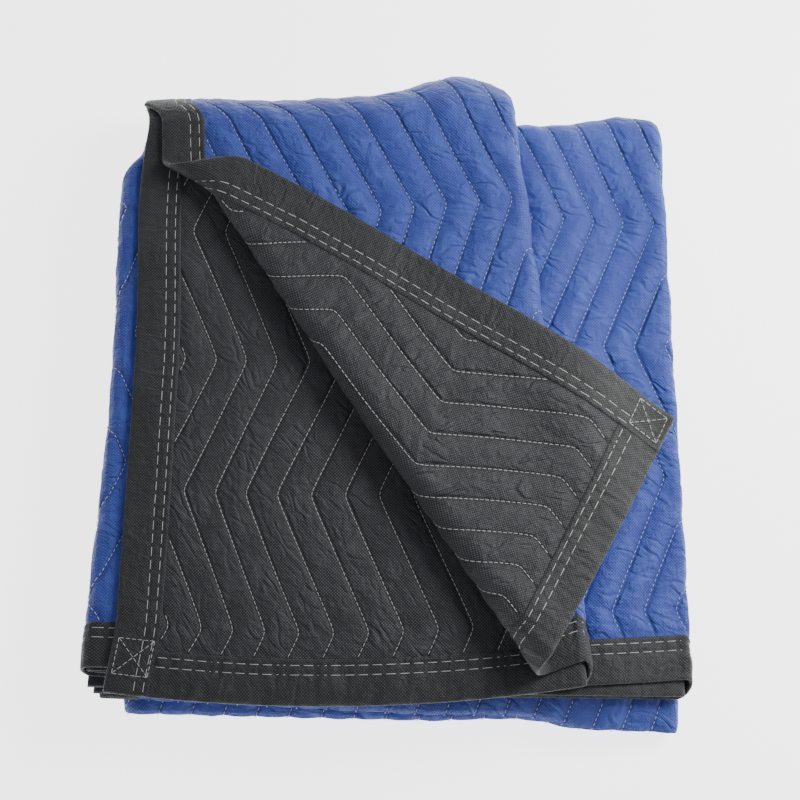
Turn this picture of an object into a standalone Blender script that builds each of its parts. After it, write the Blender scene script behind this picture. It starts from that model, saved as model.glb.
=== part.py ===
"""Quilted moving blanket, folded to a flat stack of sixteen layers with one loose corner turned over.

The cut blanket is one quilted panel: blue face, thin filling and black back, stitched together in zigzag
lines. A tape is folded over each of its four edges. Lengths are in millimetres up to the last step, which
writes metres. On the flat blanket u runs across and v runs up, both from one corner. Blue faces +normal.

The blanket was folded in half along v = 1015 with the blue outside, then in a Z across u into four parts,
then in half again along v. place(u, v) is that folding: it gives the middle of the cloth, and each solid
is the panel or a tape set off from it along the normal. The solid's origin is the middle of its footprint.
"""

import bpy
import numpy as np

# Flat blanket
WIDTH = 1740.0
LENGTH = 2030.0
LINE_GAP = 28.0            # between two stitched zigzag lines
LINE_START = 12.4          # first line at a right-hand turn
ZIG_HALF = 25.0            # half of the zigzag's width
ZIG_PERIOD = 225.6
ZIG_TURN = 169.0           # v of one right-hand turn

# Cloth, half thickness each side of its middle
HALF_STITCH = 0.95
HALF_PUFF = 1.75
HALF_PLAIN = 1.5
HALF_FOLD = 1.2            # in a fold
HALF_UNDER_TAPE = 0.7
HALF_REST = 1.7            # blue side of the lowest layer, level with the tapes
TAPE_WIDTH = 35.2
TAPE_INNER = 1.2
TAPE_OUTER = 1.7
TAPE_GAP = 0.7             # from the panel's edge to the inside of the tape's fold
TAPE_LAP = 2.0             # and to its outside
TAPE_STOP = 35.6           # where the foot and head tapes meet the side tapes
PANEL_CLEAR = 42.5         # where the panel is back to its own thickness

# Folded stack
PITCH = 4.9                # from one layer to the next
HALF_STACK = 8 * PITCH
SHORT = 340.0              # nominal width of the parts that end at the first right-hand fold
LONG = 480.0               # nominal width of the parts that reach the far right-hand fold
END = 1.5 * PITCH + 1.9    # from a fold's centre to its outside
BEND = np.pi * PITCH       # length of a fold on the middle of its two layers
NOSE = np.pi * PITCH / 4   # half the length of the fold in half
BACK_Y = 247.0             # where the back folds begin

# Where the folds across u cross the blanket, at five heights
FOLD_COLUMNS = ("v", "first_right", "left", "far_right")
FOLD_TABLE = np.array([
    (0.0, 317.0, 675.0, 1180.0),
    (507.5, 300.0, 694.0, 1170.0),
    (1015.0, 345.0, 715.0, 1190.0),
    (1522.5, 322.0, 720.0, 1190.0),
    (2030.0, 389.0, 745.0, 1250.0),
])

# How far up the foot half, and down the head half, the back fold lies
BACK_COLUMNS = ("u", "foot_half", "head_half")
BACK_TABLE = np.array([
    (0.0, 536.0, 540.0),
    (300.0, 520.0, 543.0),
    (715.0, 505.0, 510.0),
    (1190.0, 498.0, 508.0),
    (1740.0, 500.0, 505.0),
])

# Outlines in plan of the two halves' layers, which lie in eight pairs, from the top pair down
OUTLINE_COLUMNS = (
    "pair", "nominal", "back_left", "back_right", "left_x", "left_y", "right_x", "right_y", "bow",
)
FOOT_OUTLINE = np.array([
    (1.5, SHORT, -211, 102, -147, -320, 157, -213, 0),
    (3.5, SHORT, -232, 102, -265, -223, 159.5, -234, 0),
    (5.5, LONG, -232, 237, -265, -223, 249, -229, -12),
    (7.5, LONG, -233, 236, -254, -241, 243, -246, 0),
    (9.5, LONG, -233, 235, -250, -243, 238, -268, 0),
    (11.5, LONG, -233, 235, -234, -256, 234, -267, 0),
    (13.5, SHORT, -232, 102, -236, -255, 153, -233, 0),
    (15.5, SHORT, -228, 102, -226, -231, 153, -232, 0),
])
HEAD_OUTLINE = np.array([
    (1.5, SHORT, -224, 102, -241, -241, 159.5, -235, -14),
    (3.5, SHORT, -230, 102, -265, -220, 159.5, -235, 0),
    (5.5, LONG, -233, 237, -264, -227, 245, -244, -4),
    (7.5, LONG, -233, 237, -258, -236, 245, -244, 0),
    (9.5, LONG, -233, 235, -250, -243, 238, -268, 0),
    (11.5, LONG, -233, 235, -234, -256, 234, -267, 0),
    (13.5, SHORT, -232, 102, -236, -255, 153, -233, 0),
    (15.5, SHORT, -228, 102, -226, -231, 153, -232, 0),
])

# Turned corner: it rolls over a line in plan and lies back on the stack
ROLL_POINT = np.array([59.7, -126.0])
ROLL_ALONG = np.array([0.5634, -0.8262])
ROLL_OVER = np.array([0.8262, 0.5634])
ROLL_COLUMNS = ("along", "radius")
ROLL_TABLE = np.array([(-480.0, 8.0), (-300.0, 10.0), (-150.0, 13.0), (0.0, 14.0), (140.0, 15.5)])
CORNER_REST = 8.4          # height of the turned corner over the layer below, middle to middle
ROLL_START = 32.0          # how far its line curves aside before the back fold
LANDING = 150.0            # radius with which it comes to rest
CORNER_EASE = (-0.10, -0.01, -0.20, 0.11)

# Sag where the layers reach past the ones below
SIDE_SAG = 4 * PITCH
FRONT_SAG = 2 * PITCH
CORNER_SAG = 16.0


def column(table, names, name):
    return table[:, names.index(name)]


def ease(t):
    t = np.clip(t, 0, 1)
    return t * t * (3 - 2 * t)


# Ends of the straight runs and folds along one section across u
RUNS = np.cumsum([0, SHORT - END, BEND, SHORT - 2 * END, BEND, LONG - 2 * END, BEND, LONG - END])
FOLD_AT = np.array([0, (RUNS[1] + RUNS[2]) / 2, (RUNS[3] + RUNS[4]) / 2, (RUNS[5] + RUNS[6]) / 2, RUNS[7]])


def fold_lines(v):
    at = column(FOLD_TABLE, FOLD_COLUMNS, "v")
    return [np.interp(v, at, column(FOLD_TABLE, FOLD_COLUMNS, n)) for n in FOLD_COLUMNS[1:]]


def along_section(u, v):
    """Distance along the section for a point of the flat blanket."""
    first, left, far = fold_lines(v)
    return np.select(
        [u < first, u < left, u < far],
        [
            FOLD_AT[1] * u / first,
            FOLD_AT[1] + (FOLD_AT[2] - FOLD_AT[1]) * (u - first) / (left - first),
            FOLD_AT[2] + (FOLD_AT[3] - FOLD_AT[2]) * (u - left) / (far - left),
        ],
        FOLD_AT[3] + (FOLD_AT[4] - FOLD_AT[3]) * (u - far) / (WIDTH - far),
    )


def u_at(s, v):
    """The flat blanket's u for a distance s along the section, the inverse of along_section."""
    first, left, far = fold_lines(v)
    return np.interp(s, FOLD_AT, np.array([0.0, first, left, far, WIDTH]))


def section(s, w):
    """Across the stack and out from its middle plane, for the run s and the offset w."""
    turn_1 = (s - RUNS[1]) / PITCH
    turn_2 = (s - RUNS[3]) / PITCH
    turn_3 = (s - RUNS[5]) / PITCH
    where = [s < RUNS[i] for i in range(1, 7)]
    across = [
        s,
        SHORT - END + (PITCH + w) * np.sin(turn_1),
        SHORT - END - (s - RUNS[2]),
        END - (PITCH - w) * np.sin(turn_2),
        END + (s - RUNS[4]),
        LONG - END + (PITCH + w) * np.sin(turn_3),
    ]
    out = [
        7 * PITCH + w,
        6 * PITCH + (PITCH + w) * np.cos(turn_1),
        5 * PITCH - w,
        4 * PITCH + (PITCH - w) * np.cos(turn_2),
        3 * PITCH + w,
        2 * PITCH + (PITCH + w) * np.cos(turn_3),
    ]
    return np.select(where, across, LONG - END - (s - RUNS[6])), np.select(where, out, PITCH - w)


def roll(b, radius):
    """The turned corner's profile b past the roll line: how far out, and how high."""
    tilt = 0.244 * np.clip((2 * radius - CORNER_REST) / 27.0, 0.12, 1)
    arc = (np.pi + tilt) * radius
    drop = LANDING * (1 - np.cos(tilt))
    slope = np.maximum((radius * (1 + np.cos(tilt)) - drop - CORNER_REST) / np.sin(tilt), 0)
    turn = np.minimum(b, arc) / radius
    down = np.clip(b - arc, 0, slope)
    land = np.clip(b - arc - slope, 0, LANDING * tilt) / LANDING
    flat = np.maximum(b - arc - slope - LANDING * tilt, 0)
    out = radius * np.sin(turn) - down * np.cos(tilt)
    out = out - LANDING * (np.sin(tilt) - np.sin(tilt - land)) - flat
    high = radius * (1 - np.cos(turn)) - down * np.sin(tilt)
    high = high - LANDING * (np.cos(tilt - land) - np.cos(tilt))
    return out, high


def place(u, v):
    """The folded place of the middle of the cloth at u, v of the flat blanket."""
    u, v = np.broadcast_arrays(np.asarray(u, float), np.asarray(v, float))
    s = along_section(u, v)
    # Fold in half along v
    nose = np.clip((v - (LENGTH / 2 - NOSE)) / (PITCH / 2), 0, np.pi)
    across, out = section(s, PITCH / 2 * np.cos(nose))
    # Back fold
    foot = v < LENGTH / 2
    at = column(BACK_TABLE, BACK_COLUMNS, "u")
    foot_line = np.interp(u, at, column(BACK_TABLE, BACK_COLUMNS, "foot_half"))
    head_line = LENGTH - np.interp(u, at, column(BACK_TABLE, BACK_COLUMNS, "head_half"))
    line = np.where(foot, foot_line, head_line)
    past = np.where(foot, line - v, v - line)
    quarter = np.pi / 2 * out
    upper = np.where(foot, line, LENGTH - line) - quarter
    lower = np.where(foot, LENGTH / 2 - NOSE - line, line - LENGTH / 2 - NOSE) - quarter
    turn = np.clip(past / out, -np.pi / 2, np.pi / 2)
    t = np.where(past > 0, (past - quarter) / upper, np.minimum((-past - quarter) / lower, 1))
    t = np.maximum(t, 0)
    height = HALF_STACK + out * np.sin(turn)
    # Outline of the layer, from where its pair has come to in the stack
    pair = 16.5 - (HALF_STACK + section(s, 0.0)[1] * np.sin(turn)) / PITCH
    row = {}
    for n in OUTLINE_COLUMNS[1:]:
        levels = column(FOOT_OUTLINE, OUTLINE_COLUMNS, "pair")
        on_foot = np.interp(pair, levels, column(FOOT_OUTLINE, OUTLINE_COLUMNS, n))
        on_head = np.interp(pair, levels, column(HEAD_OUTLINE, OUTLINE_COLUMNS, n))
        row[n] = np.where(foot, on_foot, on_head)
    share = across / row["nominal"]
    back_x = row["back_left"] + (row["back_right"] - row["back_left"]) * share
    front_x = row["left_x"] + (row["right_x"] - row["left_x"]) * share
    front_y = row["left_y"] + (row["right_y"] - row["left_y"]) * share
    front_y = front_y + row["bow"] * 4 * share * (1 - share)
    run = np.hypot(front_x - back_x, front_y - BACK_Y)
    far = t + PITCH / 2 * np.sin(nose) / run
    x = back_x + (front_x - back_x) * far
    y = BACK_Y + (front_y - BACK_Y) * far + out * np.cos(turn)
    # Back edge: rounded at the left, more so past the first fold, and pushed out where the folds bunch
    round_off = np.clip((y - 150) / 135, 0, None) ** 2
    y = y - np.where(s < RUNS[1], 4, 17) * ease((-165 - x) / 95) * round_off
    x = x + np.where(s < RUNS[1], 8, 12) * ease((-90 - x) / 130) * round_off
    bunch = np.clip((y - 170) / 115, 0, None) ** 2
    block = 21 * np.exp(-(((x - 54) / np.where(x < 54, 50, 38)) ** 2))
    block = block - 3.5 * np.exp(-(((x + 118) / 52) ** 2))
    panel = 15 * np.exp(-(((x - 202) / 36) ** 2)) - 10 * np.exp(-(((x - 112) / 42) ** 2))
    panel = block * ease((75 - x) / 60) + panel * ease((x - 20) / 60)
    y = y + np.where(s < RUNS[4], block, panel) * bunch
    # Side edges: the left folds bulge near the back, and the head half's free edge is drawn in
    bulge = 12.5 * ease((229 - y) / 24) * ease((y + 60) / 290) ** 1.4
    x = x - np.where(s > RUNS[1], bulge, 0) * ease((-150 - x) / 60)
    drawn = 7.5 * ease((215 - y) / 190) * ease((y + 255) / 75)
    x = x + np.where((s < RUNS[1]) & ~foot & (past > 0), drawn, 0) * ease((-90 - x) / 110)
    # Front noses: drawn in right of the middle, pushed out at the right
    wave = 3 * np.exp(-(((x - 90) / 42) ** 2)) - 4.5 * ease((x - 110) / 45)
    y = y + np.where(past < 0, wave, 0) * ease((-170 - y) / 70)
    # Turned corner
    a = (x - ROLL_POINT[0]) * ROLL_ALONG[0] + (y - ROLL_POINT[1]) * ROLL_ALONG[1]
    start = ROLL_START * ease((-370 - a) / 90)
    b = -(x - ROLL_POINT[0]) * ROLL_OVER[0] - (y - ROLL_POINT[1]) * ROLL_OVER[1] - start
    turned = foot & (past > 0) & (s < RUNS[1]) & (b > 0)
    stops = column(ROLL_TABLE, ROLL_COLUMNS, "along")
    radius = np.interp(a, stops, column(ROLL_TABLE, ROLL_COLUMNS, "radius"))
    aside, high = roll(np.maximum(b, 0), radius)
    back = np.maximum(-aside, 0)
    aside = start + aside - back * (CORNER_EASE[0] + CORNER_EASE[1] * a / 200)
    a = a + back * (CORNER_EASE[2] + CORNER_EASE[3] * a / 200)
    x = np.where(turned, ROLL_POINT[0] + a * ROLL_ALONG[0] - aside * ROLL_OVER[0], x)
    y = np.where(turned, ROLL_POINT[1] + a * ROLL_ALONG[1] - aside * ROLL_OVER[1], y)
    # Sag
    beyond = x - (102 + (247 - y) * 0.1078)
    side = SIDE_SAG * ease((beyond - 4) / 95)
    front = FRONT_SAG * ease((-241 - y) / 34)
    z = height + np.where(turned, high, 0) - side - front + side * front / SIDE_SAG
    z = z - np.where(turned, CORNER_SAG * ease((beyond - 30) / 75), 0)
    return np.stack([x, y, z], -1)


def normal(u, v):
    step = 0.05
    across = place(u + step, v) - place(u - step, v)
    along = place(u, v + step) - place(u, v - step)
    n = np.cross(across, along)
    return n / np.linalg.norm(n, axis=-1, keepdims=True)


def zigzag(v):
    phase = (v - ZIG_TURN) / ZIG_PERIOD
    return ZIG_HALF * (1 - 4 * np.abs(phase - np.floor(phase + 0.5)))


# Lines of points on the panel
# A spot is ("u", distance across) or ("s", distance along the section). A line of points is
# (spot, half thickness), or (spot, half thickness, low spot, high spot) where it follows the zigzag.
def spot_u(spot, v):
    kind, at = spot
    return at if kind == "u" else float(u_at(at, v))


def line_point(line, v):
    """u and half thickness of a line of points at v. A zigzag line stops at its low and high spots."""
    spot, half = line[:2]
    if len(line) == 2:
        return spot_u(spot, v), half
    free = spot[1] - ZIG_HALF + float(zigzag(v))
    held = min(max(free, spot_u(line[2], v)), spot_u(line[3], v))
    return held, half if held == free else HALF_PLAIN


def zigzag_lines(low, high, first, last):
    """Lines of points on the stitches and on the puffs between them, kept between two spots."""
    count = last - first + 1
    lines = []
    for i in range(count):
        centre = LINE_START + LINE_GAP / 2 * (first + i)
        half = HALF_STITCH if (first + i) % 2 == 0 else HALF_PUFF
        low_spot = (low[0], low[1] + 1.2 * (i + 1))
        high_spot = (high[0], high[1] - 1.2 * (count - i))
        lines.append((("u", centre), half, low_spot, high_spot))
    return lines


def fold_points(i, steps=4):
    """Lines of points round fold i, from where it starts to where it ends."""
    return [(("s", RUNS[i] + BEND * k / steps), HALF_FOLD) for k in range(steps + 1)]


def run_points(*places):
    return [(("s", at), HALF_PLAIN) for at in places]


EDGE_LEFT = [(("u", u), HALF_UNDER_TAPE) for u in (0.0, 9.0, 18.0, 27.0, TAPE_STOP)]
EDGE_LEFT += [(("u", PANEL_CLEAR), HALF_PLAIN)]
EDGE_LEFT_FEW = [EDGE_LEFT[0], EDGE_LEFT[4], EDGE_LEFT[5]]
EDGE_RIGHT = [(("u", WIDTH - PANEL_CLEAR), HALF_PLAIN)]
EDGE_RIGHT += [(("u", WIDTH - u), HALF_UNDER_TAPE) for u in (TAPE_STOP, 0.0)]
NEAR = (60.0, 110.0, 160.0, 205.0, 250.0, 290.0)
FAR = NEAR + (330.0, 365.0, 400.0, 432.0, 460.0)
SAG = (340.0, 365.0, 390.0, 415.0, 438.0, 460.0)


def first_run(across):
    return run_points(*across)


def second_run(across):
    return run_points(*(RUNS[2] + SHORT - END - x for x in reversed(across)))


def third_run(across):
    return run_points(*(RUNS[4] - END + x for x in across))


def fourth_run(across):
    return run_points(*(RUNS[6] + LONG - END - x for x in reversed(across)))


FOOT_LINES = (
    EDGE_LEFT
    + zigzag_lines(("u", PANEL_CLEAR), ("s", RUNS[1] - 3), 3, 24)
    + fold_points(1)
    + second_run((110.0, 200.0, 250.0, 290.0))
    + fold_points(3)
    + third_run((180.0, 320.0))
    + zigzag_lines(("s", RUNS[4] - END + 330.0), ("s", RUNS[5] - 3), 74, 87)
    + fold_points(5)
    + fourth_run((170.0,) + SAG)
    + EDGE_RIGHT
)
HEAD_LINES = (
    EDGE_LEFT_FEW
    + zigzag_lines(("u", PANEL_CLEAR), ("s", RUNS[1] - 30), 3, 21)
    + fold_points(1)
    + second_run((110.0, 200.0, 250.0, 290.0))
    + fold_points(3)
    + third_run((170.0,) + SAG)
    + fold_points(5)
    + fourth_run((170.0,) + SAG)
    + EDGE_RIGHT
)
MIDDLE_LINES = (
    EDGE_LEFT
    + first_run(NEAR)
    + fold_points(1)
    + second_run(NEAR)
    + fold_points(3)
    + third_run(FAR)
    + fold_points(5)
    + fourth_run(FAR)
    + EDGE_RIGHT
)

# Heights of the points up a line
TURN_STEP = ZIG_PERIOD / 2
FOOT_TOP = 456.0
EDGE_TOP = 470.0           # the same at the left edge, past where the corner begins to roll
HEAD_FOOT = LENGTH - 466.0
FOOT_ROWS = [0.0, 17.8, TAPE_STOP, PANEL_CLEAR]
HEAD_ROWS = [0.0, TAPE_STOP, PANEL_CLEAR]


def foot_rows(line):
    """Foot half: even steps, and closer ones where the corner rolls over."""
    top = EDGE_TOP if line in EDGE_LEFT else FOOT_TOP
    rows = FOOT_ROWS + [ZIG_TURN + TURN_STEP * k for k in (-1, 0, 1, 2)] + [top]
    if line_point(line, 200.0)[0] < 300 or len(line) > 2:
        rows += [ZIG_TURN + TURN_STEP * (k + 0.5) for k in (-1, 0, 1)]
    if line_point(line, 200.0)[0] < 300:
        mates = EDGE_LEFT[:5] if line in EDGE_LEFT[:5] else [line]
        for part, reach, upright in ((8, 10, 0.985), (16, 4, 0.80 if len(mates) == 1 else 0.93)):
            step = TURN_STEP / part
            close = [ZIG_TURN + step * k for k in range(-part, 3 * part) if 2 * k % part]
            close = np.array([v for v in close if v < top - 3])
            steep = np.zeros(len(close), bool)
            for mate in mates:
                at = np.array([line_point(mate, v)[0] for v in close])
                for c, d in ((0, -reach), (0, 0), (0, reach), (reach, 0), (-reach, 0)):
                    steep |= np.abs(normal(at + c, close + d)[:, 2]) < upright
            rows += close[steep].tolist()
    return sorted(set(np.round(rows, 3).tolist()))


def head_rows(line):
    rows = [HEAD_FOOT] + [LENGTH - TURN_STEP * (k + 0.5) for k in (3, 2, 1, 0)]
    return rows + [LENGTH - v for v in reversed(HEAD_ROWS)]


def middle_rows(line):
    """Between the halves: back fold, lower run, fold in half, lower run and back fold."""
    turns = [np.radians(a) for a in (90, 45, 0, -45, -90)]
    runs = [0.5, 0.89, 0.97]
    steps = [("foot", "turn", a) for a in turns] + [("foot", "run", t) for t in runs]
    steps += [("nose", "turn", np.radians(a)) for a in (0, 45, 90, 135, 180)]
    steps += [("head", "run", t) for t in reversed(runs)] + [("head", "turn", a) for a in reversed(turns)]
    rows = []
    for side, kind, at in steps:
        if side == "nose":
            rows.append(LENGTH / 2 - NOSE + PITCH / 2 * at)
            continue
        v = 500.0 if side == "foot" else LENGTH - 500.0
        for _ in range(4):
            u = line_point(line, v)[0]
            offset = PITCH / 2 if side == "foot" else -PITCH / 2
            out = float(section(along_section(np.array(u), v), offset)[1])
            across = column(BACK_TABLE, BACK_COLUMNS, "u")
            back = float(np.interp(u, across, column(BACK_TABLE, BACK_COLUMNS, side + "_half")))
            quarter = np.pi / 2 * out
            past = out * at if kind == "turn" else -quarter - at * (LENGTH / 2 - NOSE - back - quarter)
            v = back - past if side == "foot" else LENGTH - back + past
        rows.append(v)
    return rows


def grid(lines, rows_of):
    """For each line, its points as (u, v, half thickness)."""
    out = []
    for line in lines:
        points = []
        for v in rows_of(line):
            u, half = line_point(line, v)
            edge = min(v, LENGTH - v)
            if edge < TAPE_STOP + 0.01:
                half = HALF_UNDER_TAPE
            elif edge < PANEL_CLEAR + 0.01:
                half = min(half, HALF_PLAIN)
            points.append((u, v, half))
        out.append(points)
    return out


def leans(u, v):
    """Which diagonal splits a cell of the panel, chosen to lie the same way in plan on every layer."""
    part = np.searchsorted(FOLD_AT, along_section(np.asarray(u), v))
    up = v < EDGE_TOP + 3 or LENGTH / 2 < v < HEAD_FOOT
    return (part % 2 == 1) == up


def zip_lines(left, right, spots, axis, tied):
    """Triangles between two lines of point numbers, stepping up whichever is behind along the axis."""
    triangles = []
    i = j = 0
    while i < len(left) - 1 or j < len(right) - 1:
        if i == len(left) - 1:
            step_left = False
        elif j == len(right) - 1:
            step_left = True
        else:
            ahead = spots[left[i + 1], axis] - spots[right[j + 1], axis]
            if tied and i != j:
                step_left = i < j
            elif tied or abs(ahead) < 0.4:
                step_left = leans(*(spots[left[i]] + spots[right[j + 1]])[:2] / 2)
            else:
                step_left = ahead < 0
        if step_left:
            triangles.append((left[i], right[j], left[i + 1]))
            i += 1
        else:
            triangles.append((left[i], right[j], right[j + 1]))
            j += 1
    return triangles


def closed_sheet(blue, black, triangles):
    """A closed solid from its two faces: the triangles on each, and a rim round their open edge."""
    count = len(blue)
    faces = list(triangles) + [(c + count, b + count, a + count) for a, b, c in triangles]
    edges = {(t[k], t[(k + 1) % 3]) for t in triangles for k in range(3)}
    for a, b in sorted(edges):
        if (b, a) not in edges:
            faces.append((b, a, a + count))
            faces.append((b, a + count, b + count))
    return np.vstack([blue, black]), faces


# The folded panel
FOOT = grid(FOOT_LINES, foot_rows)
MIDDLE = grid(MIDDLE_LINES, middle_rows)
HEAD = grid(HEAD_LINES, head_rows)


def panel():
    points = []
    numbered = []
    for part in (FOOT, MIDDLE, HEAD):
        lines = []
        for line in part:
            lines.append(list(range(len(points), len(points) + len(line))))
            points += line
        numbered.append(lines)
    points = np.array(points)
    u, v, half = points.T
    middle = place(u, v)
    triangles = []
    for part, lines in enumerate(numbered):
        for left, right in zip(lines, lines[1:]):
            triangles += zip_lines(left, right, points, 1, part == 1)
    for below, above in zip(numbered, numbered[1:]):
        row = [line[-1] for line in below]
        next_row = [line[0] for line in above]
        triangles += [(b, a, c) for a, b, c in zip_lines(row, next_row, points, 0, False)]
    # The lowest layer's blue side is flat, level with the tapes
    lowest = (along_section(u, v) < RUNS[1] + 1) & (v > 520) & (v < LENGTH / 2 - NOSE + 0.1)
    lowest &= (middle[:, 2] < PITCH / 2 + 0.1) & (u > TAPE_STOP + 1)
    blue_half = np.where(lowest, HALF_REST, half)
    n = normal(u, v)
    return closed_sheet(middle + n * blue_half[:, None], middle - n * half[:, None], triangles)


def tape(stations, falls):
    """A tape folded over an edge. A station holds (u, v) from the tape's inner edge to the panel's
    edge. falls says how its triangles lie, so that they lean the same way as the panel's under it."""
    rows = len(stations[0])
    spots = np.array(stations)
    middle = place(spots[:, :, 0], spots[:, :, 1])
    n = normal(spots[:, :, 0], spots[:, :, 1])
    out = middle[:, -1] - middle[:, -2]
    out /= np.linalg.norm(out, axis=-1, keepdims=True)
    edge = middle[:, -1] + out * TAPE_GAP
    lap = middle[:, -1] + out * TAPE_LAP
    middle[:, -1] = edge
    top = middle + n * TAPE_OUTER
    under = middle - n * TAPE_OUTER
    inner_top = middle + n * TAPE_INNER
    inner_under = middle - n * TAPE_INNER
    lap_top = (lap + n[:, -1])[:, None]
    lap_under = (lap - n[:, -1])[:, None]
    loop = np.concatenate([top, lap_top, lap_under, under[:, ::-1], inner_under, inner_top[:, ::-1]], 1)
    size = loop.shape[1]
    out_and_back = list(range(rows)) + [rows, rows] + list(range(rows))[::-1]
    source = out_and_back + list(range(rows)) + list(range(rows))[::-1]
    faces = []
    for i in range(len(stations) - 1):
        for k in range(size):
            m = (k + 1) % size
            a, b, c, d = i * size + k, i * size + m, (i + 1) * size + m, (i + 1) * size + k
            inward = min(source[k], source[m], rows - 2)
            lean = leans(*(spots[i, inward] + spots[i + 1, inward + 1]) / 2)
            outward = source[m] > source[k]
            faces += [(a, b, c), (a, c, d)] if (outward == falls) == lean else [(a, b, d), (b, c, d)]
    for start, flip in ((0, True), ((len(stations) - 1) * size, False)):
        t, lt, lu = start, start + rows, start + rows + 1
        w, iu, it = lu + 1, lu + 1 + rows, lu + 1 + 2 * rows
        cap = []
        for k in range(rows - 1):
            p, q = t + k, t + k + 1
            r, s = it + rows - 1 - k, it + rows - 2 - k
            cap += [(p, q, s), (p, s, r)]
            p, q = w + k, w + k + 1
            r, s = iu + rows - 1 - k, iu + rows - 2 - k
            cap += [(p, q, s), (p, s, r)]
        last, inner_low, inner_high = t + rows - 1, iu + rows - 1, it
        cap += [(last, lt, inner_high), (lt, lu, inner_high)]
        cap += [(lu, inner_low, inner_high), (lu, w, inner_low)]
        faces += cap if not flip else [(c, b, a) for a, b, c in cap]
    return loop.reshape(-1, 3), faces


def cross(lines, rows):
    """Stations of the foot or head tape, one on each line of points between the side tapes."""
    stations = []
    for line in lines:
        start = line_point(line, rows[0])[0]
        if TAPE_STOP - 0.01 <= start <= WIDTH - TAPE_STOP + 0.01:
            stations.append([(line_point(line, v)[0], v) for v in rows])
    return stations


def up(inner, outer, reach):
    """Stations of a side tape, one at each height of the panel's points at its two edges."""
    stations = []
    for part in (FOOT, MIDDLE, HEAD):
        edge = part[0] if outer == 0 else part[-1]
        inside = min(part, key=lambda line: abs(line[0][0] - inner))
        for a, b in zip(edge, inside):
            share = [abs(u - outer) / abs(inner - outer) for u in reach]
            stations.append([(u, a[1] + (b[1] - a[1]) * k) for u, k in zip(reach, share)])
    return [[(u, -TAPE_LAP) for u in reach]] + stations + [[(u, LENGTH + TAPE_LAP) for u in reach]]


def solid(name, points, faces, colour, roughness):
    points = np.asarray(points)
    tri = points[np.array(faces)]
    if np.einsum("ij,ij->i", tri[:, 0], np.cross(tri[:, 1], tri[:, 2])).sum() < 0:
        faces = [f[::-1] for f in faces]
    mesh = bpy.data.meshes.new(name)
    mesh.from_pydata([tuple(p) for p in points / 1000.0], [], faces)
    material = bpy.data.materials.new(name)
    material.use_nodes = True
    shader = material.node_tree.nodes["Principled BSDF"]
    shader.inputs["Base Color"].default_value = (*colour, 1.0)
    shader.inputs["Roughness"].default_value = roughness
    mesh.materials.append(material)
    bpy.context.scene.collection.objects.link(bpy.data.objects.new(name, mesh))


for old in list(bpy.data.objects):
    bpy.data.objects.remove(old, do_unlink=True)

FOOT_REACH = (TAPE_WIDTH, 17.8, 0.0)
HEAD_REACH = (LENGTH - TAPE_WIDTH, LENGTH)
LEFT_REACH = (TAPE_WIDTH, 27.0, 18.0, 9.0, 0.0)
RIGHT_REACH = (WIDTH - TAPE_WIDTH, WIDTH)
SOLIDS = {
    "quilted_panel": panel(),
    "binding_foot": tape(cross(FOOT_LINES, FOOT_REACH), True),
    "binding_head": tape(cross(HEAD_LINES, HEAD_REACH), False),
    "binding_left": tape(up(TAPE_STOP, 0, LEFT_REACH), True),
    "binding_right": tape(up(WIDTH - TAPE_STOP, WIDTH, RIGHT_REACH), False),
}

# The origin is the middle of the footprint, on the floor
EVERY = np.vstack([points for points, faces in SOLIDS.values()])
LOW, HIGH = EVERY.min(0), EVERY.max(0)
ORIGIN = np.array([(LOW[0] + HIGH[0]) / 2, (LOW[1] + HIGH[1]) / 2, LOW[2]])
for name, (points, faces) in SOLIDS.items():
    if name == "quilted_panel":
        solid(name, points - ORIGIN, faces, (0.07, 0.12, 0.42), 0.8)
    else:
        solid(name, points - ORIGIN, faces, (0.02, 0.02, 0.022), 0.85)
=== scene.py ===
"""Quilted moving blanket, folded to a flat stack with one loose corner turned over: its looks.

The flat blanket is 1740 mm across (u) and 2030 mm up (v). place(u, v) is the folding, in millimetres,
and every piece of cloth, tape and thread is set off from it along the cloth's normal. Blue faces +normal.
"""

import bpy
import numpy as np
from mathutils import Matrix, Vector


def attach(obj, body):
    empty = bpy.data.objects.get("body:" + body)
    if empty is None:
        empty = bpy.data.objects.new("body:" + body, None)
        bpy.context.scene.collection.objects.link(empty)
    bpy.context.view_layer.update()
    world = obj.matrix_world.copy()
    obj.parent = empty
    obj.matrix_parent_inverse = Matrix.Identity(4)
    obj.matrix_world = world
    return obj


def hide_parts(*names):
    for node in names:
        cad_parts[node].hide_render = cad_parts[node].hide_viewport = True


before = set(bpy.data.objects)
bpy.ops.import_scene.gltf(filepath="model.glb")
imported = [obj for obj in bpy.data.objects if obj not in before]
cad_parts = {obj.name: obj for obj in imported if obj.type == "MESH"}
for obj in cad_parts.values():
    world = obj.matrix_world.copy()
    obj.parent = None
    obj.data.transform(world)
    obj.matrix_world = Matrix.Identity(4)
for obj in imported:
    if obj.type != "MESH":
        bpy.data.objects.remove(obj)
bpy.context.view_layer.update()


# The blanket as it lies
# It was folded in half with the blue outside, then in a Z across its width into four parts, then in half
# again, sixteen layers in all, and the top layer's loose corner was rolled over and laid back on the stack.
WIDTH = 1740.0
LENGTH = 2030.0
PITCH = 4.9                # from one layer to the next
HALF_STACK = 8 * PITCH
SHORT = 340.0              # nominal width of the parts that end at the first right-hand fold
LONG = 480.0               # nominal width of the parts that reach the far right-hand fold
END = 1.5 * PITCH + 1.9    # from a fold's centre to its outside
BEND = np.pi * PITCH       # length of a fold on the middle of its two layers
NOSE = np.pi * PITCH / 4   # half the length of the fold in half
BACK_Y = 247.0             # where the back folds begin
FOOTPRINT_MIDDLE = np.array([-9.256, 14.970, 0.75])

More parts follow.
